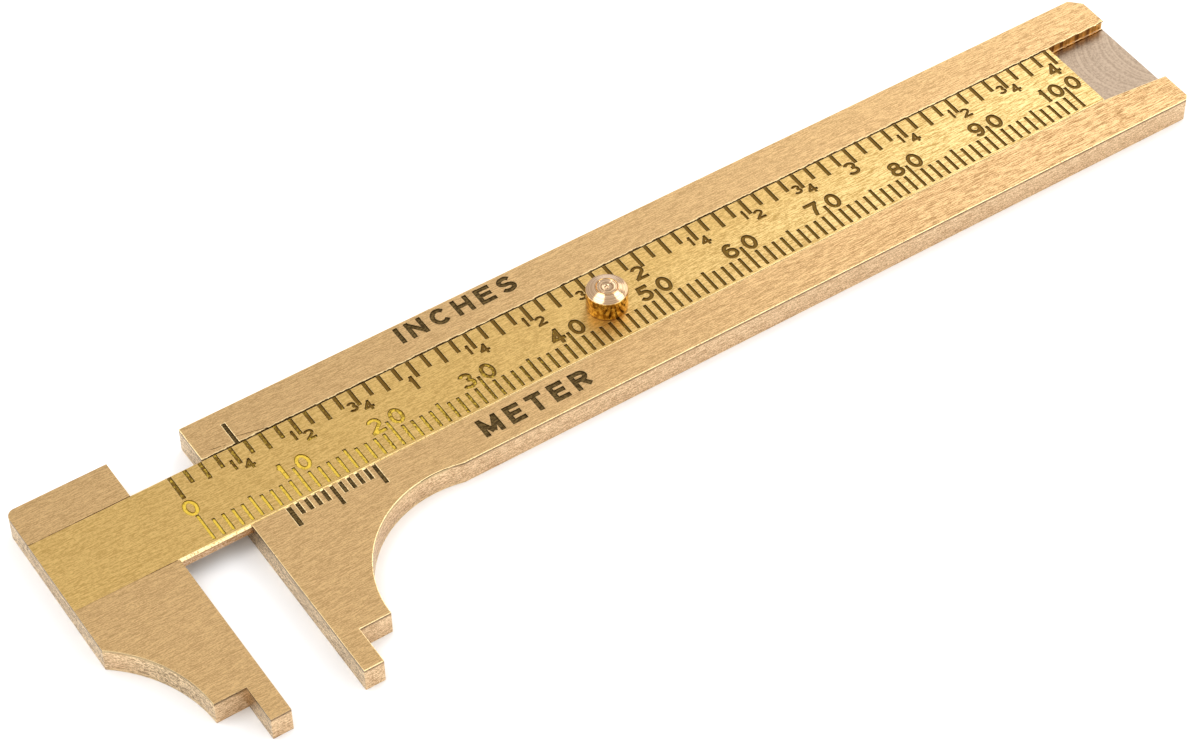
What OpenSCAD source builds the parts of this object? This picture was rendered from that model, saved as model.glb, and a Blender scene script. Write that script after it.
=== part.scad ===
// Pocket slide caliper in brass: a one-piece frame with a fixed jaw and a channel,
// and a slide made of a scale bar, a jaw, a thumb knob and a friction spring.
// X runs along the slide, away from the jaws. Y runs across it, and the jaws reach to -Y.
// Z is up. The origin is on the frame's underside, under the zero mark of its vernier,
// on the slide's centreline. The slide is drawn open by the gap called opening.

/* [Frame] */
// Length of the frame from the fixed jaw's measuring face to its far end
frame_len = 106; // [90:1:130]
// Width of the frame across both rails
frame_w = 18.2; // [17:0.1:22]
// Thickness of the frame and of the jaws
frame_t = 2.8; // [2.3:0.05:3.5]
// Distance from the measuring face to the vernier's zero mark
zero_setback = 3.75; // [3.5:0.05:4.5]
// Length of the flare at the far end of the near rail's inner edge
flare_len = 7; // [3:0.5:8]
// Width of that flare at the frame's end
flare_w = 0.7; // [0.3:0.1:1]

/* [Jaws] */
// Gap between the measuring faces in the pose that is drawn
opening = 7.3; // [5:0.05:20]
// How far the jaws reach beyond the frame's edge
jaw_reach = 15.3; // [12:0.1:18.4]
// Length of the narrow nib at each jaw's end
nib_len = 4.2; // [3:0.1:5.1]
// Width of the nib
nib_w = 2.05; // [1.7:0.05:2.5]
// Width of each jaw where the nib begins
jaw_w = 5.3; // [4.5:0.1:6]
// How far the round cut beside the fixed jaw bites into the rail
fillet_bite = 0.4; // [0:0.05:0.6]
// Width of the sliding jaw's head
head_w = 10.6; // [9:0.1:12.6]
// Radius of the hollow in the sliding jaw's back
head_hollow_r = 14.3; // [13:0.1:17]
// How far the hollow's centre lies beyond the nib's ledge, towards the jaw's tip
head_hollow_drop = 0.55; // [0:0.05:1]
// Set-back of the head's far end from the sliding jaw's measuring face
head_relief = 0.2; // [0.1:0.05:0.4]

/* [Scale bar] */
// Width of the scale bar's top face
bar_w = 8.9; // [7.4:0.1:10.7]
// Thickness of the scale bar
bar_t = 1.03; // [0.85:0.01:1.25]
// Width and depth of the bevel that the rails hold the bar down by
bar_bevel = 0.25; // [0.2:0.01:0.3]
// Running clearance between the bar's edges and the rails
side_play = 0.1; // [0.05:0.01:0.12]
// Running clearance between the bar's underside and the channel's floor
floor_play = 0.08; // [0.05:0.01:0.15]
// Thickness of the solder film that holds the bar in the head
solder_t = 0.08; // [0.05:0.01:0.15]

/* [Scales] */
// Depth of every mark
mark_depth = 0.08; // [0.04:0.01:0.12]
// Width of a millimetre mark
mm_mark_w = 0.36; // [0.2:0.01:0.42]
// Width of an inch scale's mark
inch_mark_w = 0.44; // [0.3:0.01:0.5]
// Width of a vernier mark
vernier_mark_w = 0.39; // [0.25:0.01:0.45]
// Width of the vernier's zero mark
zero_mark_w = 0.5; // [0.35:0.01:0.6]

/* [Thumb knob] */
// Diameter of the knob
knob_d = 4.1; // [3.3:0.1:4.8]
// Height of the knob's rim above the bar
knob_rim_h = 2.2; // [1.7:0.1:3]
// Height that the knob's top rises from its rim
knob_crown = 0.4; // [0.2:0.02:0.5]
// Distance from the scale's zero to the knob's axis
knob_at = 45.1; // [35:0.1:60]
// Diameter of the rivet that holds the knob
rivet_d = 2.08; // [1.7:0.02:2.5]

/* [Spring and stop] */
// Length of the friction spring
spring_len = 13; // [10:0.5:16]
// Width of the friction spring
spring_w = 3; // [2.5:0.1:3.5]
// Thickness of the friction spring
spring_t = 0.14; // [0.1:0.01:0.15]
// Diameter of the stop pin
stop_d = 1.2; // [1:0.1:1.4]
// Distance from the frame's measuring face to the stop pin's axis
stop_setback = 1.6; // [1.4:0.1:1.9]
// Distance from the edge of the bar's top face to the stop pin's axis
stop_inset = 1.4; // [1.2:0.1:1.5]

/* [Hidden] */
$fn = 96;
eps = 0.01;
over = 1;

// Levels, from the underside up
bar_z = frame_t - bar_t;
floor_z = bar_z - floor_play;

// Places along X on the frame
face_x = -zero_setback;
frame_end_x = face_x + frame_len;

// Places along X on the slide, where s = 0 is the scales' zero
slide_x = -opening;
bar_end_s = frame_end_x;
head_face_s = -zero_setback;
head_back_s = head_face_s - head_w;

// Places along Y
jaw_tip_y = -frame_w / 2 - jaw_reach;
ledge_y = jaw_tip_y + nib_len;
jaw_fillet_r = fillet_bite - frame_w / 2 - ledge_y;
channel_w = bar_w + 2 * side_play;

// Small corners
far_chamfer = 1.15;
near_chamfer = 0.45;
head_corner_r = 0.9;
knob_edge = 0.12;
rivet_rim = 0.1;

// Scales: millimetres along the bar's near edge, sixteenths of an inch along its far edge
inch = 25.4;
scale_end_gap = 0.5;
mm_marks = 10 * floor((bar_end_s - scale_end_gap) / 10);
inch_marks = 16 * floor((bar_end_s - scale_end_gap) / inch);
mm_margin = 0.25;
mm_lengths = [2.2, 2.65, 3.35];
inch_lengths = [1.75, 2.2, 3];
vernier_pitch = 0.9;
vernier_lengths = [1.55, 2.65];
index_len = 2.85;

// Rivet's formed tail, under the friction spring
rivet_tail_t = 0.12;
rivet_tail_lip = 0.4;
rivet_tail_d = rivet_d + 2 * rivet_tail_lip;

// Friction spring, bowed from its middle down to the channel's floor, and its pocket in the bar
roof_t = 0.45;
pocket_top_z = frame_t - roof_t;
pocket_play = 0.2;
pocket_len = spring_len + 2 * pocket_play;
pocket_w = max(spring_w, rivet_tail_d) + 2 * pocket_play;
spring_top_z = pocket_top_z - eps;
spring_drop = spring_top_z - spring_t - floor_z - 2 * eps;
spring_r = (pow(spring_len / 2, 2) + pow(spring_drop, 2)) / (2 * spring_drop);
rivet_play = 0.05;

// Stop pin, in the frame's floor, and its groove in the bar's underside. The groove's ends
// leave the slide free to close, and stop it where the scale runs out.
stop_play = 0.15;
stop_x = face_x + stop_setback;
stop_y = bar_w / 2 - stop_inset;
stop_top_z = pocket_top_z - stop_play;
groove_w = stop_d + 2 * stop_play;
groove_start_s = stop_x - groove_w;
groove_end_s = stop_x + mm_marks + stop_d / 2;

module along_x(from_x, to_x) {
    translate([from_x, 0, 0])
        rotate([90, 0, 90])
            linear_extrude(to_x - from_x)
                children();
}

// Cross-section of the bar, or of a bar wider by grow on each side
module bar_section(grow, bottom_z) {
    half = bar_w / 2 + grow;
    polygon([
        [-half - bar_bevel, bottom_z],
        [half + bar_bevel, bottom_z],
        [half + bar_bevel, frame_t - bar_bevel],
        [half, frame_t],
        [-half, frame_t],
        [-half - bar_bevel, frame_t - bar_bevel]
    ]);
}

// The same section, open at the top, for cutting the bar's place out of a plate
module slot_section(grow, bottom_z) {
    half = bar_w / 2 + grow;
    bar_section(grow, bottom_z);
    translate([-half, frame_t - bar_bevel])
        square([2 * half, bar_bevel + over]);
}

module mark(x, width, y_from, y_to) {
    translate([x - width / 2, min(y_from, y_to), frame_t - mark_depth])
        cube([width, abs(y_to - y_from), mark_depth + over]);
}

module frame_outline() {
    difference() {
        polygon([
            [face_x, frame_w / 2],
            [face_x, jaw_tip_y],
            [face_x + nib_w, jaw_tip_y],
            [face_x + nib_w, ledge_y],
            [face_x + jaw_w + jaw_fillet_r, ledge_y],
            [face_x + jaw_w + jaw_fillet_r, -frame_w / 2],
            [frame_end_x - near_chamfer, -frame_w / 2],
            [frame_end_x, -frame_w / 2 + near_chamfer],
            [frame_end_x, frame_w / 2 - far_chamfer],
            [frame_end_x - far_chamfer, frame_w / 2]
        ]);
        translate([face_x + jaw_w + jaw_fillet_r, ledge_y])
            circle(r = jaw_fillet_r);
    }
}

module vernier_marks() {
    rail_y = -channel_w / 2;
    for (i = [0 : 10]) {
        length = vernier_lengths[i % 5 == 0 ? 1 : 0];
        mark(i * vernier_pitch, i == 0 ? zero_mark_w : vernier_mark_w, rail_y + over, rail_y - length);
    }
}

module far_end_flare() {
    edge_y = -channel_w / 2;
    translate([0, 0, floor_z])
        linear_extrude(frame_t)
            polygon([
                [frame_end_x - flare_len, edge_y],
                [frame_end_x, edge_y - flare_w],
                [frame_end_x + over, edge_y - flare_w],
                [frame_end_x + over, edge_y + over],
                [frame_end_x - flare_len, edge_y + over]
            ]);
}

module frame() {
    color([0.80, 0.62, 0.38])
        difference() {
            linear_extrude(frame_t)
                frame_outline();
            along_x(face_x - over, frame_end_x + over)
                slot_section(side_play, floor_z);
            far_end_flare();
            vernier_marks();
            mark(0, vernier_mark_w, channel_w / 2 - over, channel_w / 2 + index_len);
            translate([stop_x, stop_y, -over])
                cylinder(d = stop_d, h = floor_z + 2 * over);
        }
}

module mm_scale() {
    from_y = -bar_w / 2 + mm_margin;
    for (i = [0 : mm_marks]) {
        rank = i % 10 == 0 ? 2 : (i % 5 == 0 ? 1 : 0);
        mark(slide_x + i, mm_mark_w, from_y, from_y + mm_lengths[rank]);
    }
}

module inch_scale() {
    edge_y = bar_w / 2;
    for (i = [0 : inch_marks]) {
        rank = i == 0 ? 2 : (i % 2 == 0 ? 1 : 0);
        mark(slide_x + i * inch / 16, inch_mark_w, edge_y + bar_bevel, edge_y - inch_lengths[rank]);
    }
}

module stop_groove() {
    from_x = slide_x + groove_start_s + groove_w / 2;
    to_x = slide_x + groove_end_s - groove_w / 2;
    height = pocket_top_z - bar_z + over;
    translate([0, stop_y, bar_z - over]) {
        translate([from_x, -groove_w / 2, 0])
            cube([to_x - from_x, groove_w, height]);
        for (x = [from_x, to_x])
            translate([x, 0, 0])
                cylinder(d = groove_w, h = height);
    }
}

module spring_pocket() {
    translate([slide_x + knob_at - pocket_len / 2, -pocket_w / 2, bar_z - over])
        cube([pocket_len, pocket_w, pocket_top_z - bar_z + over]);
}

module scale_bar() {
    color([0.84, 0.68, 0.34])
        difference() {
            along_x(slide_x + head_back_s, slide_x + bar_end_s)
                bar_section(0, bar_z);
            mm_scale();
            inch_scale();
            stop_groove();
            spring_pocket();
            translate([slide_x + knob_at, 0, 0])
                cylinder(d = rivet_d, h = frame_t + over);
        }
}

module head_outline() {
    face = slide_x + head_face_s;
    back = slide_x + head_back_s;
    top = frame_w / 2;
    hollow_x = face - jaw_w - sqrt(pow(head_hollow_r, 2) - pow(head_hollow_drop, 2));
    difference() {
        polygon([
            [back, top],
            [back, ledge_y],
            [face - nib_w, ledge_y],
            [face - nib_w, jaw_tip_y],
            [face, jaw_tip_y],
            [face, -bar_w / 2],
            [face - head_relief, bar_w / 2],
            [face - head_relief, top]
        ]);
        translate([hollow_x, ledge_y - head_hollow_drop])
            circle(r = head_hollow_r);
        translate([back, top])
            difference() {
                square(2 * head_corner_r, center = true);
                translate([head_corner_r, -head_corner_r])
                    circle(r = head_corner_r);
            }
    }
}

module sliding_jaw() {
    color([0.80, 0.62, 0.38])
        difference() {
            linear_extrude(frame_t)
                head_outline();
            along_x(slide_x + head_back_s - over, slide_x + head_face_s + over)
                slot_section(solder_t, bar_z - solder_t);
        }
}

module jaw_solder() {
    color([0.62, 0.50, 0.30])
        difference() {
            along_x(slide_x + head_back_s, slide_x + head_face_s - head_relief)
                bar_section(solder_t, bar_z - solder_t);
            along_x(slide_x + head_back_s - over, slide_x + head_face_s + over)
                slot_section(0, bar_z);
        }
}

module thumb_knob() {
    radius = knob_d / 2;
    top_z = knob_rim_h + knob_crown;
    color([0.86, 0.68, 0.44])
        translate([slide_x + knob_at, 0, frame_t])
            rotate_extrude()
                polygon([
                    [rivet_d / 2, 0],
                    [radius - knob_edge, 0],
                    [radius, knob_edge],
                    [radius, knob_rim_h - knob_edge],
                    [radius - knob_edge, knob_rim_h],
                    [rivet_d / 2 + knob_edge, top_z],
                    [rivet_d / 2, top_z]
                ]);
}

module knob_rivet() {
    tail_z = spring_top_z - spring_t - 2 * eps;
    radius = rivet_d / 2;
    top_z = frame_t + knob_rim_h + knob_crown;
    dish_z = top_z - rivet_rim;
    color([0.82, 0.64, 0.42])
        translate([slide_x + knob_at, 0, 0])
            rotate_extrude()
                polygon([
                    [0, tail_z - rivet_tail_t],
                    [rivet_tail_d / 2, tail_z - rivet_tail_t],
                    [rivet_tail_d / 2, tail_z],
                    [radius, tail_z],
                    [radius, dish_z],
                    [radius - rivet_rim, top_z],
                    [radius / 2, dish_z],
                    [rivet_rim, dish_z],
                    [0, top_z]
                ]);
}

module friction_spring() {
    color([0.72, 0.48, 0.30])
        translate([slide_x + knob_at, 0, spring_top_z - spring_r])
            intersection() {
                rotate([90, 0, 0])
                    difference() {
                        cylinder(r = spring_r, h = spring_w, center = true);
                        cylinder(r = spring_r - spring_t, h = spring_w + over, center = true);
                    }
                translate([-spring_len / 2, -spring_w / 2, 0])
                    difference() {
                        cube([spring_len, spring_w, spring_r + over]);
                        translate([spring_len / 2, spring_w / 2, -over])
                            cylinder(d = rivet_d + 2 * rivet_play, h = 2 * spring_r);
                    }
            }
}

module stop_pin() {
    color([0.78, 0.60, 0.36])
        translate([stop_x, stop_y, 0])
            cylinder(d = stop_d, h = stop_top_z);
}

frame();
scale_bar();
sliding_jaw();
jaw_solder();
thumb_knob();
knob_rivet();
friction_spring();
stop_pin();
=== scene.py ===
import math
import random

import bmesh
import bpy
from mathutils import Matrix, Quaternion, Vector, noise as field


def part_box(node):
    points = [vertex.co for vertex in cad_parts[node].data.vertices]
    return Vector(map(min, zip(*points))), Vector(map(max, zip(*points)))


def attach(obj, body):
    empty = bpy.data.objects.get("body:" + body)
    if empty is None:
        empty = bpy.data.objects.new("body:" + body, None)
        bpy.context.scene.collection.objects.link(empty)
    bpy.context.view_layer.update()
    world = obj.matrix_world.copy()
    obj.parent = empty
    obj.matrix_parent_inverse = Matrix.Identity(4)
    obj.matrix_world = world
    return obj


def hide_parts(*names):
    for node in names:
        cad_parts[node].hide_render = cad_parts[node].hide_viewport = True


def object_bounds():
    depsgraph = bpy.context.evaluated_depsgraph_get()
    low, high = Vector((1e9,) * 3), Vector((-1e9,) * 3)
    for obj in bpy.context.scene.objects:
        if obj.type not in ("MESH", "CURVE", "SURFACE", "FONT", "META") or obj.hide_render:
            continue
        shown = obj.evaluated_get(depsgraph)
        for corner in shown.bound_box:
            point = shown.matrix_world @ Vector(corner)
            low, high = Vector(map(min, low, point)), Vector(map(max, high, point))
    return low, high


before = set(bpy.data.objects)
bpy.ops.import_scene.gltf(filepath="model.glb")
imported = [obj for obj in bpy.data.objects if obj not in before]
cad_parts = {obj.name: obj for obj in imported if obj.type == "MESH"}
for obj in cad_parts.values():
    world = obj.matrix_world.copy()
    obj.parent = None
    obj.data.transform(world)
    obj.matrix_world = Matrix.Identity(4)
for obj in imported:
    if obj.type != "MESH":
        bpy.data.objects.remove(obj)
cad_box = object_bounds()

# A brass pocket slide caliper. Lengths are in millimetres, in the CAD's own frame, until a mesh, a
# modifier or a socket takes them. X runs along the slide, and Z points out of the face with the scales.
MM = 0.001
INCH = 25.4
FRAME_LOW, FRAME_HIGH = (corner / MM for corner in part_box("frame"))
BAR_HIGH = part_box("scale_bar")[1] / MM
HEAD_LOW, HEAD_HIGH = (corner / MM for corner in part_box("sliding_jaw"))
KNOB_LOW, KNOB_HIGH = (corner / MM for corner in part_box("thumb_knob"))
RIVET_LOW, RIVET_HIGH = (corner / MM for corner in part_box("knob_rivet"))

# Sizes in the CAD that no box gives
BAR_BEVEL = 0.25
SIDE_PLAY = 0.1
MARK_DEPTH = 0.08
KNOB_AT = 45.1
KNOB_RIM_H = 2.2
RIVET_SHANK_R = 1.04
RIVET_TAIL_T = 0.12

TOP_Z = FRAME_HIGH.z
BAR_EDGE_Y = BAR_HIGH.y - BAR_BEVEL
RAIL_EDGE_Y = BAR_EDGE_Y + SIDE_PLAY
KNOB_X = (KNOB_LOW.x + KNOB_HIGH.x) / 2
ZERO_X = KNOB_X - KNOB_AT


# ---------------------------------------------------------------- shader graphs

def connect(tree, node, values):
    """Gives each input of a node its value, or a link where the value is another node's output."""
    for key, value in values.items():
        if isinstance(value, bpy.types.NodeSocket):
            tree.links.new(value, node.inputs[key])
        else:
            node.inputs[key].default_value = value


def add_node(tree, kind, values, **settings):
    """A shader node with its settings and its inputs."""
    node = tree.nodes.new(kind)
    for name, value in settings.items():
        setattr(node, name, value)
    connect(tree, node, values)
    return node


def calculate(tree, operation, *values):
    """The result of a math node."""
    return add_node(tree, "ShaderNodeMath", dict(enumerate(values)), operation=operation).outputs[0]


def multiply(tree, *values):
    """The product of two or more values."""
    product = values[0]
    for value in values[1:]:
        product = calculate(tree, "MULTIPLY", product, value)
    return product


def between(tree, value, low, high):
    """1 where a value lies between low and high, 0 elsewhere."""
    return multiply(tree, calculate(tree, "GREATER_THAN", value, low),
                    calculate(tree, "LESS_THAN", value, high))


def blend_between(tree, value, low, high):
    """0 where value is low, 1 where it is high, and a smooth step between."""
    step = add_node(tree, "ShaderNodeMapRange", {"Value": value, "From Min": low, "From Max": high},
                    interpolation_type="SMOOTHSTEP")
    return step.outputs["Result"]


def sharpen(tree, noise, spread):
    """0 in the low parts of a noise and 1 in its high parts. A small spread leaves little in between."""
    return blend_between(tree, noise, 0.5 - spread, 0.5 + spread)


def mix_numbers(tree, share, first, second):
    """first where share is 0, second where it is 1."""
    return add_node(tree, "ShaderNodeMix", {0: share, 2: first, 3: second}).outputs[0]


def mix_colours(tree, share, first, second):
    """The first colour where share is 0, the second where it is 1."""
    values = {0: share, 6: first, 7: second}
    return add_node(tree, "ShaderNodeMix", values, data_type="RGBA").outputs[2]


def tint(tree, share, tone):
    """A tone's dark colour where share is 0, its light one where it is 1."""
    return mix_colours(tree, share, tone["dark"], tone["light"])


def split(tree, vector):
    """The X, Y and Z of a vector."""
    return add_node(tree, "ShaderNodeSeparateXYZ", {0: vector}).outputs


def join(tree, x, y=0.0):
    """A vector from its X and Y."""
    return add_node(tree, "ShaderNodeCombineXYZ", {0: x, 1: y}).outputs[0]


def facing(tree):
    """How much a face points along X, Y and Z, either way, each from 0 to 1."""
    normal = add_node(tree, "ShaderNodeTexCoord", {}).outputs["Normal"]
    return [calculate(tree, "ABSOLUTE", part) for part in split(tree, normal)]


def grain(tree, place, waves, detail=3, roughness=0.55, seed=0.0):
    """Noise over a place in millimetres, with a number of waves per millimetre along each axis.

    Each seed takes the noise from another part of its space, so that two grains don't line up."""
    mapping = add_node(tree, "ShaderNodeMapping", {"Vector": place, "Scale": waves,
                                                   "Location": (seed, seed, seed)})
    values = {"Vector": mapping.outputs[0], "Scale": 1.0, "Detail": detail, "Roughness": roughness}
    return add_node(tree, "ShaderNodeTexNoise", values).outputs["Fac"]


def start_metal(name, roughness):
    """A metal's material, tree and shader, and the place on the piece in millimetres."""
    material = bpy.data.materials.new(name)
    material.use_nodes = True
    tree = material.node_tree
    shader = tree.nodes["Principled BSDF"]
    shader.inputs["Metallic"].default_value = 1.0
    shader.inputs["Roughness"].default_value = roughness
    metres = add_node(tree, "ShaderNodeTexCoord", {}).outputs["Object"]
    place = add_node(tree, "ShaderNodeVectorMath", {0: metres, 1: (1 / MM,) * 3}, operation="MULTIPLY")
    return material, tree, shader, place.outputs[0]


def add_bump(tree, shader, height, depth):
    """Relief of a depth in millimetres."""
    bump = add_node(tree, "ShaderNodeBump", {"Height": height, "Distance": depth * MM, "Strength": 1.0})
    tree.links.new(bump.outputs[0], shader.inputs["Normal"])


# ---------------------------------------------------------------- colours

# Each tone near the jaws, and sheened: paler and more contrasty towards the far end, a painted sheen
TAN = {"new": {"dark": (0.38, 0.237, 0.100, 1), "light": (0.62, 0.405, 0.188, 1)},
       "sheened": {"dark": (0.28, 0.150, 0.052, 1), "light": (0.76, 0.500, 0.245, 1)}}
YELLOW = {"new": {"dark": (0.41, 0.258, 0.078, 1), "light": (0.63, 0.415, 0.148, 1)},
          "sheened": {"dark": (0.36, 0.215, 0.052, 1), "light": (0.84, 0.620, 0.280, 1)}}
# Side and end tones, paler than the tops': painted light, for the sheen that the sides take from the white
# floor and the ends from where they face
TAN_SIDE = {"dark": (0.42, 0.25, 0.12, 1), "light": (0.90, 0.67, 0.41, 1)}
YELLOW_SIDE = {"dark": (0.38, 0.18, 0.05, 1), "light": (0.80, 0.58, 0.38, 1)}
PALE_END = {"dark": (0.20, 0.12, 0.055, 1), "light": (0.95, 0.74, 0.46, 1)}
MILLED = {"dark": (0.26, 0.192, 0.135, 1), "light": (0.36, 0.275, 0.198, 1)}
# The channel walls: dark chatter bars, on an amber that is a painted reflection of the yellow bar
CHATTER_AND_REFLECTION = {"dark": (0.22, 0.085, 0.012, 1), "light": (0.80, 0.42, 0.10, 1)}
BRONZE = {"dark": (0.40, 0.20, 0.09, 1), "light": (0.56, 0.31, 0.15, 1)}
KNOB_FACE = {"dark": (0.42, 0.27, 0.15, 1), "light": (0.66, 0.45, 0.28, 1)}
KNOB_SIDE = {"dark": (0.38, 0.18, 0.02, 1), "light": (0.90, 0.58, 0.14, 1)}
RIVET_FACE = {"dark": (0.36, 0.23, 0.13, 1), "light": (0.60, 0.42, 0.26, 1)}
RIVET_SIDE = {"dark": (0.45, 0.22, 0.06, 1), "light": (0.72, 0.47, 0.20, 1)}
# A bright colour that paints highlights on rounded edges and on the far rail's lip
EDGE_SHINE = (1.0, 0.78, 0.42, 1)
# A near-black brown: painted shade in the far rail's gap, and the dark band under the sides' top edge
DARK_BROWN = (0.07, 0.035, 0.010, 1)
SOLDER_DARK = (0.05, 0.016, 0.008, 1)

REFLECTION_MARK = (0.76, 0.53, 0.07, 1)
DARK_MARK = (0.15, 0.082, 0.016, 1)
BAR_MARK_SHADE = (0.035, 0.016, 0.003, 1)
FRAME_MARK = {"dark": (0.050, 0.030, 0.010, 1), "light": (0.15, 0.098, 0.036, 1)}
FRAME_MARK_SHADE = (0.025, 0.014, 0.004, 1)
PAPER = (0.93, 0.93, 0.94, 1)


# ---------------------------------------------------------------- brushed brass

# Pits per millimetre along X, Y and Z
RAIL_PITS = (5.0, 10.0, 4.0)
BAR_PITS = (4.0, 6.0, 3.0)

# A painted sheen, paler and more contrasty, grows between these places along X, and starts further on by a
# share of Y on the far side
SHEEN_START = 20.0
SHEEN_END = 90.0
FAR_SIDE_LAG = -6.0

# The band under the top edge of sides is fully dark this far below the top face, and gone at the second
# depth
DARK_BAND_FULL = 0.16
DARK_BAND_GONE = 0.42


def face_kinds(tree):
    """How much a face is a flat top or bottom, a ground end, and a rounded edge between them."""
    towards_x, _, towards_z = facing(tree)
    is_flat = blend_between(tree, towards_z, 0.55, 0.85)
    is_end = blend_between(tree, towards_x, 0.65, 0.9)
    is_edge = calculate(tree, "SUBTRACT", blend_between(tree, towards_z, 0.1, 0.3),
                        blend_between(tree, towards_z, 0.94, 0.99))
    return is_flat, is_end, is_edge


def wear_at(tree, place):
    """How much painted sheen the brass takes: 0 near the jaws, and 1 at the far end of the slide."""
    x, y, _ = split(tree, place)
    far_side = calculate(tree, "MAXIMUM", y, 0.0)
    return blend_between(tree, calculate(tree, "MULTIPLY_ADD", far_side, FAR_SIDE_LAG, x),
                         SHEEN_START, SHEEN_END)


def top_pattern(tree, place, pits, sheen):
    """Fine brush lines along X with pitting between them, and more of the longer streaks where the painted
    sheen grows.
    """
    hairlines = grain(tree, place, (1.1, 20.0, 2.0), detail=3, roughness=0.65, seed=7.0)
    pitting = grain(tree, place, pits, detail=4, roughness=0.65, seed=19.0)
    streaks = grain(tree, place, (0.8, 15.0, 0.5), detail=5, roughness=0.7)
    streak_share = calculate(tree, "MULTIPLY_ADD", sheen, 0.4, 0.15)
    return mix_numbers(tree, streak_share, mix_numbers(tree, 0.38, hairlines, pitting), streaks)


def flank_colour(tree, place, side, is_end, layers):
    """The colour of sides and ends in their pale painted-light tones, darker in a band just under the top
    edge.
    """
    layer_tone = sharpen(tree, layers, 0.08)
    flank = mix_colours(tree, is_end, tint(tree, layer_tone, side), tint(tree, layer_tone, PALE_END))
    depth = calculate(tree, "SUBTRACT", TOP_Z, split(tree, place)["Z"])
    dark_band = multiply(tree, blend_between(tree, depth, DARK_BAND_GONE, DARK_BAND_FULL),
                    blend_between(tree, layers, 0.40, 0.56))
    return mix_colours(tree, dark_band, flank, DARK_BROWN)


def brushed_brass(name, tone, side, pits, details=()):
    """Brass brushed along X on its top, with layered sides and ends in pale tones that paint in their light,
    and a painted highlight, broken by specks, on its edges.

    The details are functions that change the colour, the roughness and the height in turn."""
    material, tree, shader, place = start_metal(name, 0.4)
    is_flat, is_end, is_edge = face_kinds(tree)
    sheen = wear_at(tree, place)
    lines = top_pattern(tree, place, pits, sheen)
    line_tone = sharpen(tree, lines, 0.07)
    top = mix_colours(tree, sheen, tint(tree, line_tone, tone["new"]), tint(tree, line_tone, tone["sheened"]))
    long_layers = grain(tree, place, (0.9, 0.9, 13.0), detail=4, roughness=0.7, seed=11.0)
    speckle = grain(tree, place, (4.5, 4.5, 9.0), detail=4, roughness=0.7, seed=23.0)
    layers = mix_numbers(tree, 0.5, long_layers, speckle)
    colour = mix_colours(tree, is_flat, flank_colour(tree, place, side, is_end, layers), top)
    # Painted highlight: the bevel faces of rounded edges take a bright colour, broken by specks
    edge_highlight = multiply(tree, is_edge, blend_between(tree, speckle, 0.34, 0.50))
    colour = mix_colours(tree, edge_highlight, colour, EDGE_SHINE)
    height = mix_numbers(tree, is_flat, layers, lines)
    roughness = calculate(tree, "MULTIPLY_ADD", sharpen(tree, height, 0.08), -0.12, 0.42)
    for detail in details:
        colour, roughness, height = detail(tree, place, colour, roughness, height)
    connect(tree, shader, {"Base Color": colour, "Roughness": roughness})
    add_bump(tree, shader, height, 0.035)
    return material


# ---------------------------------------------------------------- details of the brass

def engraved_zone(tree, place, x_range, y_reach):
    """A share that is 1 in the bottoms of marks, and another that is 1 along their outlines, where painted
    shade darkens them.
    """
    x, y, z = split(tree, place)
    depth = calculate(tree, "SUBTRACT", TOP_Z, z)
    is_cut = blend_between(tree, depth, 0.3 * MARK_DEPTH, 0.55 * MARK_DEPTH)
    share = multiply(
        tree,
        is_cut,
        between(tree, x, *x_range),
        calculate(tree, "LESS_THAN", calculate(tree, "ABSOLUTE", y), y_reach),
        calculate(tree, "LESS_THAN", depth, 1.5 * MARK_DEPTH),
    )
    # Painted shade: ambient occlusion darkens the marks along their walls
    shelter = add_node(tree, "ShaderNodeAmbientOcclusion", {"Distance": 3 * MARK_DEPTH * MM},
                       samples=6, only_local=True)
    return share, blend_between(tree, shelter.outputs["AO"], 0.88, 0.70)


def bar_engraving(tree, place, colour, roughness, height):
    """Marks whose bottoms carry a painted reflection, bright yellow near the millimetre scale's zero, and
    hold more dark patina further on, with painted shade along their walls.
    """
    share, groove_shade = engraved_zone(tree, place, (ZERO_X - 1, BAR_HIGH.x - 0.1), BAR_EDGE_Y + 0.06)
    x, y, _ = split(tree, place)
    specks = grain(tree, place, (5.0, 5.0, 5.0), detail=4, seed=5.0)
    along_scale = blend_between(tree, calculate(tree, "SUBTRACT", x, ZERO_X), 6.0, 48.0)
    among_inches = multiply(tree, blend_between(tree, y, 0.8, 1.6), 0.7)
    patina_share = calculate(tree, "MULTIPLY_ADD", calculate(tree, "SUBTRACT", specks, 0.44), 2.2,
                    calculate(tree, "ADD", along_scale, among_inches))
    # Bright yellow is a painted reflection in the grooves; dark brown is patina
    bottom = mix_colours(tree, blend_between(tree, patina_share, 0.1, 0.95), REFLECTION_MARK, DARK_MARK)
    patina = mix_colours(tree, groove_shade, bottom, BAR_MARK_SHADE)
    return mix_colours(tree, share, colour, patina), mix_numbers(tree, share, roughness, 0.5), height


def frame_engraving(tree, place, colour, roughness, height):
    """Words and vernier marks filled with a dark olive patina, darkened along their walls by painted shade
    so that it is paler along their middles.
    """
    share, groove_shade = engraved_zone(tree, place, (FRAME_LOW.x + 1, FRAME_HIGH.x - 1), FRAME_HIGH.y - 0.3)
    specks = grain(tree, place, (2.5, 6.0, 4.0), detail=4, seed=5.0)
    bottom = tint(tree, sharpen(tree, specks, 0.12), FRAME_MARK)
    patina = mix_colours(tree, groove_shade, bottom, FRAME_MARK_SHADE)
    return mix_colours(tree, share, colour, patina), mix_numbers(tree, share, roughness, 0.6), height


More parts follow.
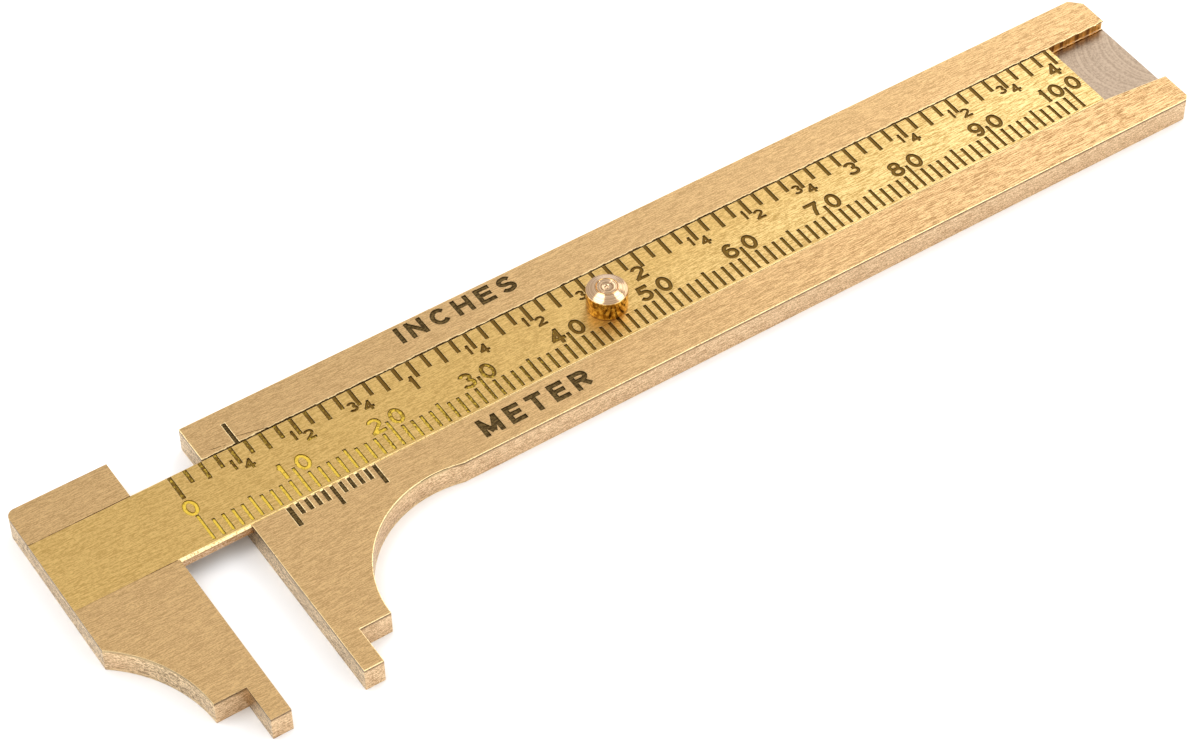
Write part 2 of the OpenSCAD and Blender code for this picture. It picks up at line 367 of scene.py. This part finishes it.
def cutter_arcs(tree, place):
    """The arcs that a round cutter, a little wider than the channel, leaves as it moves along X."""
    x, y, _ = split(tree, place)
    cutter_r = RAIL_EDGE_Y + 2.0
    reach_squared = calculate(tree, "SUBTRACT", cutter_r ** 2, multiply(tree, y, y))
    bulge = calculate(tree, "SQRT", calculate(tree, "MAXIMUM", reach_squared, 0.0))
    sweep = join(tree, calculate(tree, "ADD", x, bulge))
    arcs = grain(tree, sweep, (2.8, 1.0, 1.0), detail=5, roughness=0.75, seed=2.0)
    fuzz = grain(tree, place, (4.0, 4.0, 4.0), detail=4, seed=31.0)
    return mix_numbers(tree, 0.35, arcs, fuzz)


def milled_channel(tree, place, colour, roughness, height):
    """The channel's grey floor, with an end mill's arcs across it, and its walls with chatter bars on an
    amber tone that paints in the bar's reflection.
    """
    x, y, z = split(tree, place)
    _, towards_y, towards_z = facing(tree)
    below_top = between(tree, z, 0.5, TOP_Z - 0.12)
    is_floor = multiply(tree, below_top, blend_between(tree, towards_z, 0.75, 0.95))
    between_rails = calculate(tree, "LESS_THAN", calculate(tree, "ABSOLUTE", y), RAIL_EDGE_Y + 0.4)
    is_wall = multiply(tree, below_top, between_rails, blend_between(tree, towards_y, 0.5, 0.8))
    bars = grain(tree, join(tree, x), (1.5, 1.0, 1.0), detail=2, seed=9.0)
    arcs = cutter_arcs(tree, place)
    colour = mix_colours(tree, is_floor, colour, tint(tree, sharpen(tree, arcs, 0.08), MILLED))
    # The walls' amber tone is a painted reflection of the yellow bar; the dark bars are chatter
    colour = mix_colours(tree, is_wall, colour, tint(tree, blend_between(tree, bars, 0.42, 0.56), CHATTER_AND_REFLECTION))
    return colour, roughness, mix_numbers(tree, is_floor, height, arcs)


def worn_lip(tree, place, colour, roughness, height):
    """The far rail's inner edge: painted shade in the gap beside the bar, and a painted highlight next to
    it.
    """
    _, y, z = split(tree, place)
    from_lip = calculate(tree, "SUBTRACT", y, RAIL_EDGE_Y)
    ragged = grain(tree, place, (1.4, 1.4, 1.4), detail=4, roughness=0.7, seed=41.0)
    edge = calculate(tree, "MULTIPLY_ADD", calculate(tree, "SUBTRACT", ragged, 0.5), 0.5, from_lip)
    near_lip = multiply(
        tree,
        blend_between(tree, facing(tree)[2], 0.5, 0.8),
        calculate(tree, "GREATER_THAN", from_lip, -0.05),
        calculate(tree, "GREATER_THAN", z, TOP_Z / 2),
    )
    # Painted highlight along the lip, and painted shade on the rail's top where the gap beside the bar is
    # dark
    lip_highlight = multiply(tree, near_lip, blend_between(tree, edge, 0.24, 0.16), 0.6)
    gap_shade = multiply(tree, near_lip, blend_between(tree, edge, 0.13, 0.05))
    colour = mix_colours(tree, lip_highlight, colour, EDGE_SHINE)
    return mix_colours(tree, gap_shade, colour, DARK_BROWN), roughness, height


# ---------------------------------------------------------------- other metals

def solder_seam():
    """A seam that is dark and broken at the jaw's face, and fades into the brass towards its back."""
    material, tree, shader, place = start_metal("solder_seam", 0.5)
    x, y, _ = split(tree, place)
    back = blend_between(tree, x, HEAD_HIGH.x, HEAD_LOW.x + 3.0)
    far_side = blend_between(tree, y, 0.0, 1.0)
    breaks = grain(tree, place, (1.6, 4.0, 4.0), detail=5, roughness=0.75)
    dark = calculate(tree, "MULTIPLY_ADD", breaks, 1.6, multiply(tree, far_side, 0.5))
    dark = calculate(tree, "SUBTRACT", dark, multiply(tree, back, 0.75))
    colour = mix_colours(tree, blend_between(tree, dark, 0.35, 0.75), TAN["new"]["dark"], SOLDER_DARK)
    tree.links.new(colour, shader.inputs["Base Color"])
    add_bump(tree, shader, breaks, 0.03)
    return material


def turned_metal(name, face, side):
    """Lathe-turned brass: fine rings on its face, a polished amber side."""
    material, tree, shader, place = start_metal(name, 0.2)
    centred = add_node(tree, "ShaderNodeVectorMath", {0: place, 1: (KNOB_X, 0, 0)}, operation="SUBTRACT")
    x, y, z = split(tree, centred.outputs[0])
    squares = calculate(tree, "ADD", multiply(tree, x, x), multiply(tree, y, y))
    turn = join(tree, calculate(tree, "SQRT", squares), z)
    rings = grain(tree, turn, (9.0, 9.0, 1.0), detail=3, roughness=0.7)
    stains = grain(tree, place, (2.2, 2.2, 2.2), detail=4, seed=4.0)
    is_face = blend_between(tree, facing(tree)[2], 0.5, 0.8)
    colour = mix_colours(tree, is_face, tint(tree, sharpen(tree, stains, 0.1), side),
                         tint(tree, sharpen(tree, rings, 0.15), face))
    roughness = calculate(tree, "MULTIPLY_ADD", stains, 0.12, mix_numbers(tree, is_face, 0.12, 0.06))
    connect(tree, shader, {"Base Color": colour, "Roughness": roughness})
    add_bump(tree, shader, rings, 0.005)
    return material


def rolled_bronze():
    """The spring's cold-rolled strip, with faint lines along it."""
    material, tree, shader, place = start_metal("rolled_bronze", 0.3)
    lines = grain(tree, place, (0.2, 8.0, 1.0), detail=4)
    tree.links.new(tint(tree, sharpen(tree, lines, 0.15), BRONZE), shader.inputs["Base Color"])
    add_bump(tree, shader, lines, 0.01)
    return material


# ---------------------------------------------------------------- objects

def add_object(name, data):
    """A new object in the scene."""
    item = bpy.data.objects.new(name, data)
    bpy.context.scene.collection.objects.link(item)
    return item


def finished_mesh(name, shape):
    """A mesh from a shape's closed solids, with every face turned outwards."""
    bmesh.ops.recalc_face_normals(shape, faces=shape.faces)
    mesh = bpy.data.meshes.new(name)
    shape.to_mesh(mesh)
    shape.free()
    return mesh


# ---------------------------------------------------------------- glyphs

def arc(centre_x, centre_y, reach_x, reach_y, start, end):
    """Points along an arc of an ellipse, from one angle to another in degrees."""
    steps = max(4, round(abs(end - start) / 12))
    angles = [math.radians(start + (end - start) * i / steps) for i in range(steps + 1)]
    return [(centre_x + reach_x * math.cos(a), centre_y + reach_y * math.sin(a)) for a in angles]


def turned_over(strokes):
    """The same strokes turned by half a turn."""
    return [[(1 - x, 1 - y) for x, y in stroke] for stroke in strokes]


# Each glyph's strokes run inside a box from 0 to 1. A stroke that ends where it starts is closed.
SIX = [arc(0.5, 0.31, 0.5, 0.31, 0, 360), arc(0.52, 0.5, 0.52, 0.5, 48, 195)]
GLYPHS = {
    "0": [arc(0.5, 0.5, 0.5, 0.5, 0, 360)],
    "1": [[(1, 0), (1, 1)], [(1, 0.97), (0.6, 0.8), (0, 0.7)]],
    "2": [arc(0.5, 0.71, 0.48, 0.29, 165, -35) + [(0, 0.02)], [(0, 0), (1, 0)]],
    "3": [arc(0.48, 0.76, 0.44, 0.24, 165, -90), arc(0.48, 0.26, 0.52, 0.26, 90, -165)],
    "4": [[(0.72, 0), (0.72, 1)], [(0.72, 0.98), (0, 0.3)], [(0, 0.27), (1, 0.27)]],
    "5": [[(0.25, 1), (0.95, 1)], [(0.25, 1), (0.12, 0.5)], arc(0.48, 0.32, 0.52, 0.32, 128, -160)],
    "6": SIX,
    "7": [[(0, 1), (1, 1)], [(0.98, 0.98), (0.6, 0.5), (0.4, 0)]],
    "8": [arc(0.5, 0.76, 0.42, 0.24, 0, 360), arc(0.5, 0.27, 0.5, 0.27, 0, 360)],
    "9": turned_over(SIX),
    "C": [arc(0.52, 0.5, 0.52, 0.5, 40, 320)],
    "E": [[(0, 0), (0, 1)], [(0, 1), (1, 1)], [(0, 0.53), (0.9, 0.53)], [(0, 0), (1, 0)]],
    "H": [[(0, 0), (0, 1)], [(1, 0), (1, 1)], [(0, 0.52), (1, 0.52)]],
    "I": [[(0.5, 0), (0.5, 1)]],
    "M": [[(0, 0), (0, 1)], [(0.02, 1), (0.5, 0.05)], [(0.98, 1), (0.5, 0.05)], [(1, 0), (1, 1)]],
    "N": [[(0, 0), (0, 1)], [(0.02, 1), (0.98, 0)], [(1, 0), (1, 1)]],
    "R": [[(0, 0), (0, 1)], [(0, 1)] + arc(0.6, 0.76, 0.36, 0.24, 90, -90) + [(0, 0.52)],
          [(0.5, 0.5), (1, 0)]],
    "S": [arc(0.5, 0.75, 0.47, 0.25, 25, 270) + arc(0.5, 0.25, 0.5, 0.25, 90, -160)[1:]],
    "T": [[(0, 1), (1, 1)], [(0.5, 0), (0.5, 1)]],
}

# The largest step along a stroke, how far its edges wander, and a length that counts as none
STROKE_STEP = 0.16
RAGGEDNESS = 0.02
NO_LENGTH = 1e-6


def drawn_out(points, extra):
    """An open stroke whose upright or level ends run on by extra, so that corners meet in full."""
    longer = list(points)
    for end, inner in ((0, 1), (-1, -2)):
        along = points[end] - points[inner]
        if min(abs(along.x), abs(along.y)) < NO_LENGTH:
            longer[end] = points[end] + along.normalized() * extra
    return longer


def divided(points, step):
    """The same line with a point at least every step."""
    finer = [points[0]]
    for start, end in zip(points, points[1:]):
        pieces = max(1, math.ceil((end - start).length / step))
        finer += [start.lerp(end, i / pieces) for i in range(1, pieces + 1)]
    return finer


def stroke_edges(points, closed, half_width):
    """The two edges of a stroke, with the slight raggedness of an etched line."""
    edges = []
    count = len(points)
    for i, point in enumerate(points):
        before = points[i - 1] if closed or i else point
        after = points[(i + 1) % count] if closed or i < count - 1 else point
        along = (after - before).normalized()
        across = Vector((-along.y, along.x))
        edges.append([
            point + across * side * (half_width + RAGGEDNESS * field.noise((*(point * 4), side * 9)))
            for side in (1, -1)
        ])
    return edges


def cut_stroke(shape, points, width, depth):
    """Adds to shape a closed solid that cuts a stroke, narrower at its bottom than at the top face."""
    closed = (points[0] - points[-1]).length < NO_LENGTH
    line = divided(points if closed else drawn_out(points, width / 2), STROKE_STEP)
    if closed:
        line = line[:-1]
    taper = 0.25 * depth
    upper = stroke_edges(line, closed, width / 2 + taper)
    lower = stroke_edges(line, closed, width / 2 - taper)
    rings = []
    for high, low in zip(upper, lower):
        corners = ((high[0], TOP_Z + depth), (high[1], TOP_Z + depth),
                   (low[1], TOP_Z - depth), (low[0], TOP_Z - depth))
        rings.append([shape.verts.new(Vector((*corner, z)) * MM) for corner, z in corners])
    for ring, following in zip(rings, rings[1:] + rings[:1] if closed else rings[1:]):
        for k in range(4):
            shape.faces.new((ring[k], ring[k - 1], following[k - 1], following[k]))
    if not closed:
        shape.faces.new(rings[0])
        shape.faces.new(rings[-1][::-1])


def cut_glyph(shape, glyph, centre, size, stroke):
    """Adds to shape the solids that cut one glyph. Size is its outer width and height."""
    reach = Vector((max(size[0] - stroke, 0.0), size[1] - stroke))
    low = Vector(centre) - reach / 2
    for points in GLYPHS[glyph]:
        line = [low + Vector((x * reach.x, y * reach.y)) for x, y in points]
        cut_stroke(shape, line, stroke, MARK_DEPTH)


def cut_word(shape, word, widths, left, right, centre_y, height, stroke):
    """Adds to shape a word whose letters share out the space between left and right."""
    space = (right - left - sum(widths)) / (len(word) - 1)
    x = left
    for letter, width in zip(word, widths):
        cut_glyph(shape, letter, (x + width / 2, centre_y), (width, height), stroke)
        x += width + space


def hidden_cutter(name, shape, body):
    """The object that holds a body's cuts. It isn't shown, and rides on that body."""
    cutter = add_object(name, finished_mesh(name, shape))
    cutter.hide_render = True
    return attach(cutter, body)


# ---------------------------------------------------------------- engraving

# Each kind of numeral: the middle of its height along Y, its height, its width and its stroke
ZERO = {"y": 0.2, "height": 2.05, "width": 1.5, "stroke": 0.44}
CENTIMETRE = {"y": -0.75, "height": 2.05, "width": 1.5, "stroke": 0.44}
WHOLE_INCH = {"y": 1.82, "height": 1.85, "width": 1.4, "stroke": 0.38}
QUARTER_UPPER = {"y": 2.45, "height": 1.3, "width": 0.95, "stroke": 0.3}
QUARTER_LOWER = {"y": 1.8, "height": 1.3, "width": 1.05, "stroke": 0.3}
ONE_SHARE = 0.72 / 1.5

# How far each numeral stands from the mark that it names
ZERO_SHIFT = -0.05
TENS_SHIFT = -1.1
UNITS_SHIFT = 1.15
HUNDRED_SHIFTS = {"1": -2.5, "0": -0.98}
INCH_SHIFT = -0.85
QUARTER_SHIFTS = (-0.72, 0.62)
QUARTER_FIGURES = {1: "14", 2: "12", 3: "34"}

# The scale names, with each letter's width
SCALE_NAMES = (
    {"word": "INCHES", "widths": (0.45, 1.85, 1.9, 1.85, 1.7, 1.75),
     "left": 19.1, "right": 32.15, "centre_y": 7.65, "height": 2.12, "stroke": 0.5},
    {"word": "METER", "widths": (2.15, 1.65, 1.7, 1.65, 1.9),
     "left": 19.4, "right": 31.45, "centre_y": -6.6, "height": 2.27, "stroke": 0.54},
)
SCRATCHES = (((0.2, 5.4), (3.2, 4.7)), ((-2.5, 5.25), (-1.0, 5.0)))
SCRATCH_W = 0.07


def cut_digit(shape, digit, scale_place, y, height, width, stroke):
    """Adds a digit whose middle is at a place on the slide's scale. A one is about half as wide."""
    full_width = width * ONE_SHARE if digit == "1" else width
    cut_glyph(shape, digit, (ZERO_X + scale_place, y), (full_width, height), stroke)


def centimetre_numerals(shape):
    """Adds the millimetre scale's numerals, which stand either side of their marks."""
    cut_digit(shape, "0", ZERO_SHIFT, **ZERO)
    for ten in range(1, 11):
        place = 10 * ten
        before = {str(ten): TENS_SHIFT} if ten < 10 else HUNDRED_SHIFTS
        for digit, shift in before.items():
            cut_digit(shape, digit, place + shift, **CENTIMETRE)
        cut_digit(shape, "0", place + UNITS_SHIFT, **CENTIMETRE)


def inch_numerals(shape):
    """Adds the inch scale's numerals, and the fractions at its quarters."""
    for inches in range(1, 5):
        cut_digit(shape, str(inches), INCH * inches + INCH_SHIFT, **WHOLE_INCH)
    for quarters in range(16):
        if quarters % 4 in QUARTER_FIGURES:
            upper, lower = QUARTER_FIGURES[quarters % 4]
            place = INCH * quarters / 4
            cut_digit(shape, upper, place + QUARTER_SHIFTS[0], **QUARTER_UPPER)
            cut_digit(shape, lower, place + QUARTER_SHIFTS[1], **QUARTER_LOWER)


def slide_numerals():
    """The cutter for the numerals of both scales."""
    shape = bmesh.new()
    centimetre_numerals(shape)
    inch_numerals(shape)
    return hidden_cutter("slide_numeral_cutter", shape, "slide")


def nick(shape, x, y, length, reach, depth):
    """Adds to shape a small lozenge that chips an edge."""
    low = [Vector((x + length / 2 * math.cos(a), y + reach * math.sin(a), TOP_Z - depth))
           for a in (math.tau * k / 4 for k in range(4))]
    bottom = [shape.verts.new(point * MM) for point in low]
    top = [shape.verts.new((point + Vector((0, 0, 2 * depth))) * MM) for point in low]
    shape.faces.new(bottom)
    shape.faces.new(top)
    for k in range(4):
        shape.faces.new((bottom[k - 1], bottom[k], top[k], top[k - 1]))


def far_rail_nicks(shape):
    """Adds the nicks of the far rail's worn inner edge, from near the jaws to near the far end."""
    chance = random.Random(12)
    x = FRAME_LOW.x + 1
    while x < FRAME_HIGH.x - 8:
        length = chance.uniform(0.2, 0.9)
        nick(shape, x, RAIL_EDGE_Y, length, chance.uniform(0.05, 0.16), chance.uniform(0.08, 0.2))
        x += length + chance.uniform(0.1, 1.6)


def frame_words():
    """The cutter for the two scale names, two scratches beside them and the far rail's nicks."""
    shape = bmesh.new()
    for scale_name in SCALE_NAMES:
        cut_word(shape, **scale_name)
    for start, end in SCRATCHES:
        cut_stroke(shape, [Vector(start), Vector(end)], SCRATCH_W, 0.5 * MARK_DEPTH)
    far_rail_nicks(shape)
    return hidden_cutter("frame_word_cutter", shape, "frame")


# ---------------------------------------------------------------- CAD nodes

PLATE_ROUNDING = 0.08
BAR_ROUNDING = 0.02
PIN_ROUNDING = 0.03


def soften_edges(node, width):
    """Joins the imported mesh's split corners and rounds its sharp edges."""
    weld = node.modifiers.new("joined_corners", "WELD")
    weld.merge_threshold = 1e-6
    edges = node.modifiers.new("soft_edges", "BEVEL")
    edges.width = width * MM
    edges.segments = 2
    edges.limit_method = "ANGLE"
    edges.angle_limit = math.radians(30)


def engrave(node, cutter):
    """Cuts the cutter's strokes into a node."""
    cut = node.modifiers.new("engraving", "BOOLEAN")
    cut.operation = "DIFFERENCE"
    cut.solver = "EXACT"
    cut.use_self = True
    cut.object = cutter


def finish_node(name, material, rounding=0.0):
    """Gives a CAD node its finish and its edges."""
    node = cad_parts[name]
    node.data.materials.clear()
    node.data.materials.append(material)
    if rounding:
        soften_edges(node, rounding)
    return node


# ---------------------------------------------------------------- turned pieces

LATHE_SIDES = 96


def lathe_ring(shape, radius, z):
    """The points of one ring about the knob's axis. A ring of no radius is one point, repeated."""
    if radius == 0:
        return [shape.verts.new(Vector((KNOB_X, 0, z)) * MM)] * LATHE_SIDES
    angles = [math.tau * k / LATHE_SIDES for k in range(LATHE_SIDES)]
    return [shape.verts.new(Vector((KNOB_X + radius * math.cos(a), radius * math.sin(a), z)) * MM)
            for a in angles]


def lathe(name, profile, material, replaced):
    """A piece turned about the knob's axis. The profile starts and ends on the axis, or closes on itself."""
    shape = bmesh.new()
    closes = profile[0][0] > 0
    rings = [lathe_ring(shape, radius, z) for radius, z in profile]
    for low, high in zip(rings, rings[1:] + rings[:1] if closes else rings[1:]):
        for k in range(LATHE_SIDES):
            corners = (low[k - 1], low[k], high[k], high[k - 1])
            shape.faces.new(tuple(dict.fromkeys(corners)))
    mesh = finished_mesh(name, shape)
    mesh.materials.append(material)
    for polygon in mesh.polygons:
        polygon.use_smooth = True
    mesh.set_sharp_from_angle(angle=math.radians(28))
    piece = add_object(name, mesh)
    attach(piece, "slide")
    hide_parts(replaced)


def turned_knob(material):
    """The knob: a plain side, a rounded rim, and a cone with turning rings."""
    radius = (KNOB_HIGH.x - KNOB_LOW.x) / 2
    base, top = KNOB_LOW.z, KNOB_HIGH.z
    bore = RIVET_SHANK_R
    rim_z = base + KNOB_RIM_H
    rounding = 0.14
    base_bevel = 0.1
    bore_bevel = 0.06
    ring_count = 9
    ring_relief = 0.002
    rim = [(radius - rounding + rounding * math.cos(a), rim_z - rounding + rounding * math.sin(a))
           for a in (math.radians(15 * k) for k in range(6))]
    cone_start = radius - rounding
    cone = []
    for k in range(1, ring_count):
        share = k / ring_count
        ring_r = cone_start - share * (cone_start - bore - bore_bevel)
        cone.append((ring_r, rim_z + share * (top - rim_z) + ring_relief * (-1) ** k))
    profile = [(bore, base), (radius - base_bevel, base), (radius, base + base_bevel), *rim, *cone,
               (bore + 0.05, top), (bore, top - bore_bevel)]
    lathe("turned_knob", profile, material, "thumb_knob")


# The rivet's face, from its shank to its middle: each point's radius and depth below the top
RIVET_FACE_OUTLINE = (
    (RIVET_SHANK_R, 0.08), (0.99, 0.01), (0.93, 0), (0.87, 0.04), (0.80, 0.01), (0.64, 0.02), (0.57, 0.07),
    (0.50, 0.02), (0.34, 0.03), (0.24, 0.09), (0.14, 0.05), (0.05, 0), (0, 0),
)


def turned_rivet(material):
    """The rivet: its tail below, its shank, and a face with a ring and a centre point."""
    tail_r = (RIVET_HIGH.x - RIVET_LOW.x) / 2
    tail_z = RIVET_LOW.z
    tail_top = tail_z + RIVET_TAIL_T
    tail_bevel = 0.05
    face = [(radius, RIVET_HIGH.z - depth) for radius, depth in RIVET_FACE_OUTLINE]
    profile = [(0, tail_z), (tail_r - tail_bevel, tail_z), (tail_r, tail_z + tail_bevel),
               (tail_r, tail_top), (RIVET_SHANK_R, tail_top), *face]
    lathe("turned_rivet", profile, material, "knob_rivet")


# ---------------------------------------------------------------- studio

# The middle of the CAD's box in metres, and the point that the camera looks at, from there in millimetres
CENTRE = (cad_box[0] + cad_box[1]) / 2
AIM = Vector((-7.02, 2.07, -1.57))

# The camera's angles in degrees, with azimuth turning from +Y to +X, and its distance from that point
CAMERA_AZIMUTH = 32.89
CAMERA_ELEVATION = 48.21
CAMERA_ROLL = -0.83
CAMERA_DISTANCE = 320.6
LENS = 101.95
SENSOR_W = 36

FLOOR_REACH = 3.0
FLOOR_GAP = 0.02

# Each lamp's direction from the object, then its distance, width and height in metres, and its radiance
LAMPS = {
    "far_right_light": ((0.80, 0.48, 0.62), 0.60, 0.40, 0.40, 1.5),
    "top_left_light": ((-0.35, 0.18, 0.92), 0.60, 0.28, 0.28, 3.4),
    "top_right_light": ((0.57, -0.17, 0.81), 0.60, 0.22, 0.22, 3.4),
    "front_right_light": ((0.36, -0.75, 0.50), 0.70, 0.40, 0.30, 1.5),
    "back_left_light": ((-0.75, 0.50, 0.36), 0.70, 0.30, 0.25, 2.0),
}


def pale_floor():
    """A wide sheet of white paper, a hair below the object."""
    mesh = bpy.data.meshes.new("floor")
    corners = [(x * FLOOR_REACH, y * FLOOR_REACH, 0) for x, y in ((-1, -1), (1, -1), (1, 1), (-1, 1))]
    mesh.from_pydata(corners, [], [(0, 1, 2, 3)])
    floor = add_object("floor", mesh)
    floor.location.z = -FLOOR_GAP * MM
    material = bpy.data.materials.new("white_paper")
    material.use_nodes = True
    shader = material.node_tree.nodes["Principled BSDF"]
    shader.inputs["Base Color"].default_value = PAPER
    shader.inputs["Roughness"].default_value = 0.9
    shader.inputs["Specular IOR Level"].default_value = 0.0
    mesh.materials.append(material)


def surrounding_light(strength):
    """An even white light from everywhere."""
    world = bpy.data.worlds.new("studio")
    world.use_nodes = True
    background = world.node_tree.nodes["Background"]
    background.inputs["Color"].default_value = (1, 1, 1, 1)
    background.inputs["Strength"].default_value = strength
    bpy.context.scene.world = world


def soft_box(name, direction, distance, width, height, radiance):
    """A rectangular lamp that faces the object, as bright as radiance says."""
    light = bpy.data.lights.new(name, "AREA")
    light.shape = "RECTANGLE"
    light.size = width
    light.size_y = height
    light.energy = radiance * math.pi * width * height
    lamp = add_object(name, light)
    lamp.location = CENTRE + Vector(direction).normalized() * distance
    lamp.rotation_euler = (CENTRE - lamp.location).to_track_quat("-Z", "Y").to_euler()


def studio_camera():
    """The photograph's viewing angle: the camera looks down along an azimuth, at a point near the centre."""
    azimuth, elevation, roll = (math.radians(angle)
                                for angle in (CAMERA_AZIMUTH, CAMERA_ELEVATION, CAMERA_ROLL))
    look = Vector((math.cos(elevation) * math.sin(azimuth), math.cos(elevation) * math.cos(azimuth),
                   -math.sin(elevation)))
    data = bpy.data.cameras.new("camera")
    data.sensor_width = SENSOR_W
    data.lens = LENS
    data.clip_start = 0.01
    data.clip_end = 10
    camera = add_object("camera", data)
    camera.rotation_mode = "QUATERNION"
    camera.rotation_quaternion = look.to_track_quat("-Z", "Y") @ Quaternion((0, 0, 1), roll)
    camera.location = CENTRE + AIM * MM - look * CAMERA_DISTANCE * MM
    bpy.context.scene.camera = camera


# ---------------------------------------------------------------- the caliper and its studio

frame_brass = brushed_brass("frame_brass", TAN, TAN_SIDE, RAIL_PITS,
                            (milled_channel, worn_lip, frame_engraving))
jaw_brass = brushed_brass("jaw_brass", TAN, TAN_SIDE, RAIL_PITS)
bar_brass = brushed_brass("bar_brass", YELLOW, YELLOW_SIDE, BAR_PITS, (bar_engraving,))
knob_brass = turned_metal("knob_brass", KNOB_FACE, KNOB_SIDE)
rivet_brass = turned_metal("rivet_brass", RIVET_FACE, RIVET_SIDE)

engrave(finish_node("frame", frame_brass, PLATE_ROUNDING), frame_words())
engrave(finish_node("scale_bar", bar_brass, BAR_ROUNDING), slide_numerals())
finish_node("sliding_jaw", jaw_brass, PLATE_ROUNDING)
finish_node("jaw_solder", solder_seam())
finish_node("friction_spring", rolled_bronze())
finish_node("stop_pin", rivet_brass, PIN_ROUNDING)
turned_knob(knob_brass)
turned_rivet(rivet_brass)

pale_floor()
surrounding_light(1.0)
for lamp_name, lamp_values in LAMPS.items():
    soft_box(lamp_name, *lamp_values)
studio_camera()
bpy.context.scene.view_settings.view_transform = "Standard"
